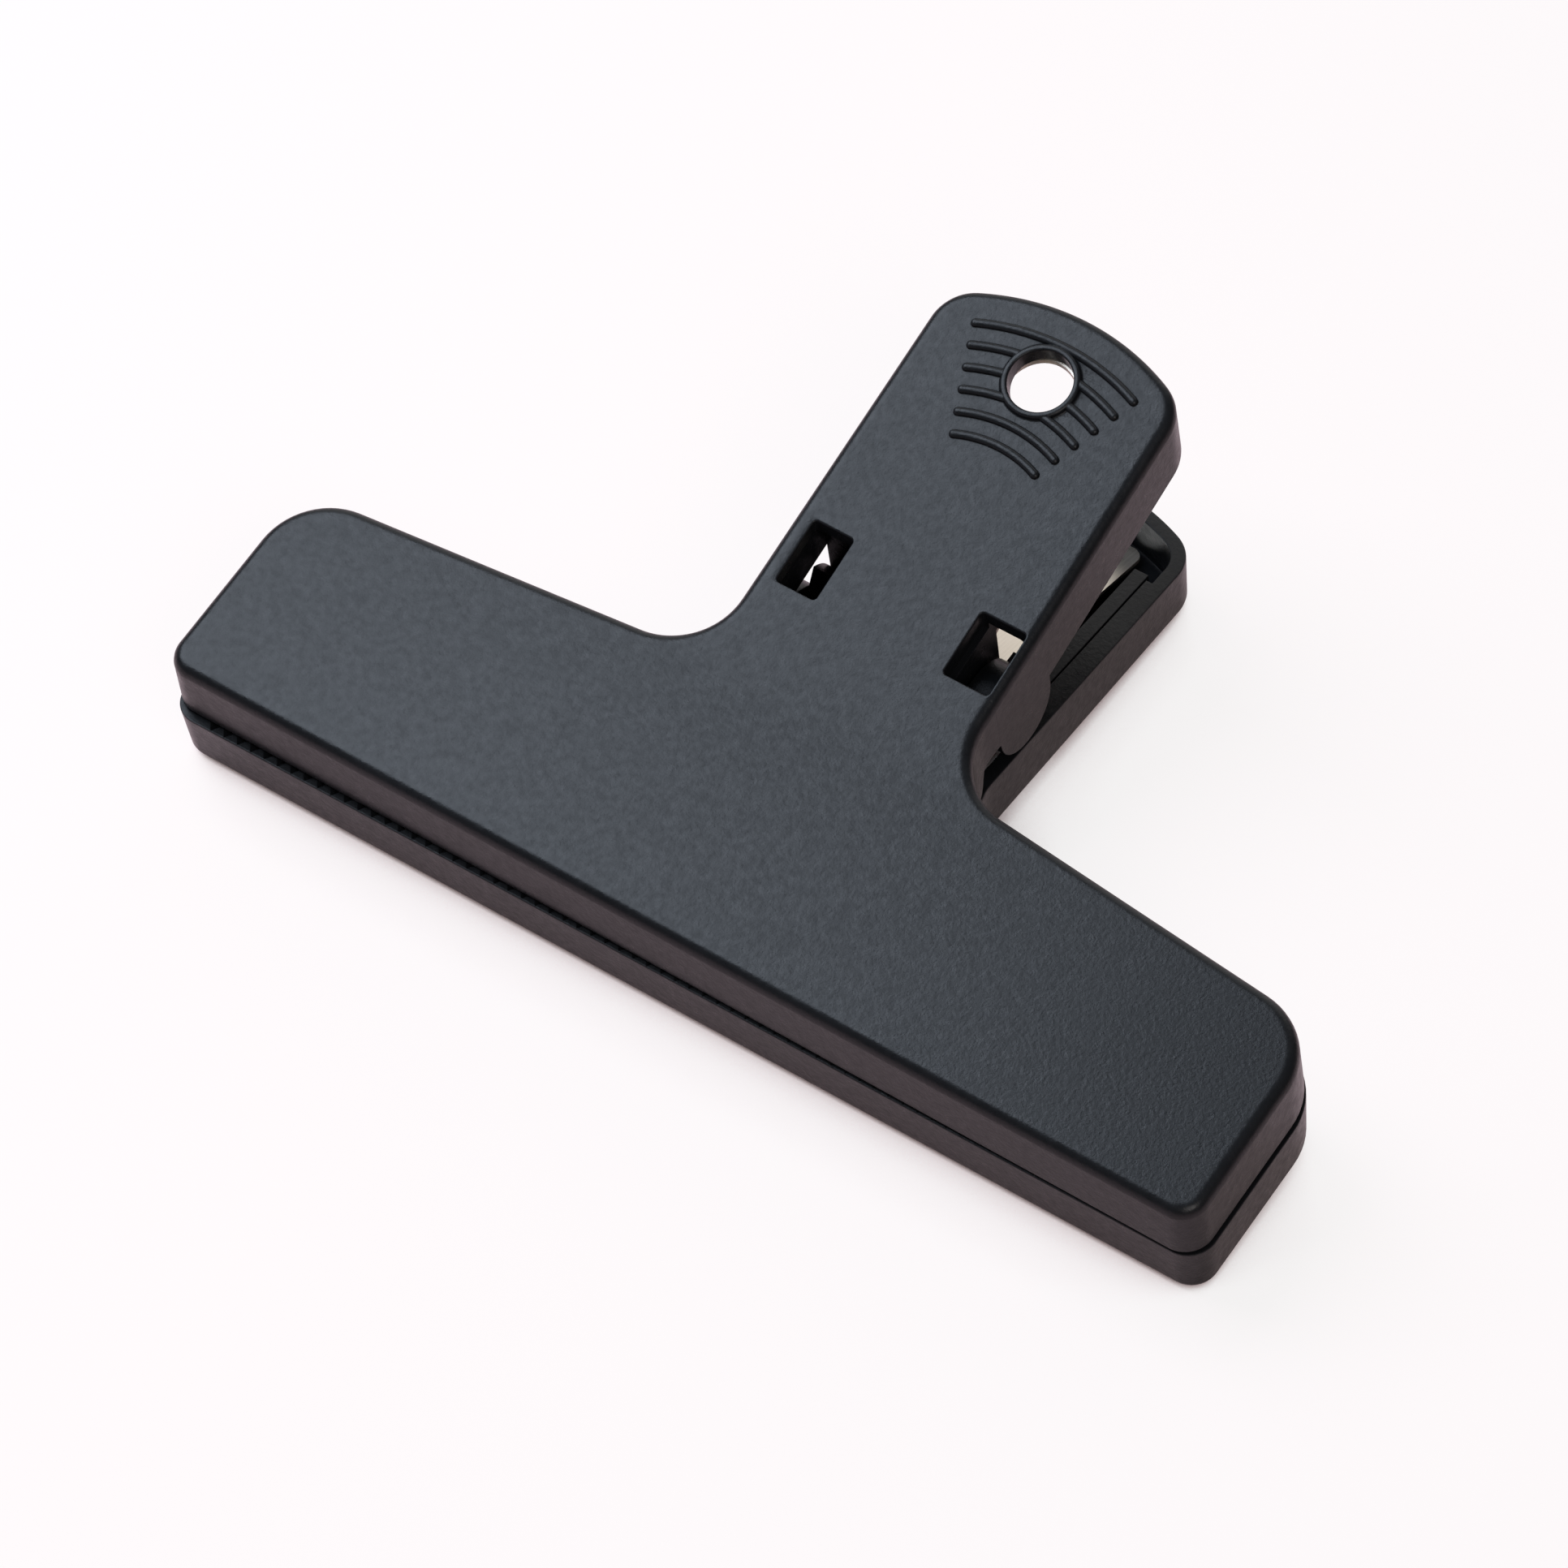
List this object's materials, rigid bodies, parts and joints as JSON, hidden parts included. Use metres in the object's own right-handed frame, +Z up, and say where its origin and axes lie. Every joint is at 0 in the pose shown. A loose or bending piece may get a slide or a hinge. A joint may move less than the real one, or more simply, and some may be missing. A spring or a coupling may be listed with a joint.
{
  "type": "long tail clip",
  "caption": "Wide T-shaped plastic clip for papers or bags: mirrored jaw halves hinged at the handle and pressed shut by a folded leaf spring, with a hang hole and grip ribs.",
  "frame": {"origin": "on the table, under the middle of the clip's bounding box, with the clip lying on its lower half", "axes": "+X along the jaw bar, +Y from the jaw bar towards the handles, +Z up"},
  "size_m": [0.1508, 0.0968, 0.0435],
  "materials": {
    "plastic": "matt, fine moulded grain",
    "steel": "plain spring steel strip, rolled surface"
  },
  "bodies": {
    "lower_body": {"lower_half": "plastic", "leaf_spring": "steel"},
    "upper_body": {"upper_half": "plastic"}
  },
  "joints": [
    {"name": "handle_hinge", "type": "hinge", "parent": "lower_body", "child": "upper_body", "pos_m": [0.00018, 0.00355, 0.01623], "axis": [-1, 0, 0], "range_deg": [0, 28], "stiffness_Nm_per_rad": 0.6, "springref_deg": -28.65, "deforming": ["leaf_spring"]}
  ]
}
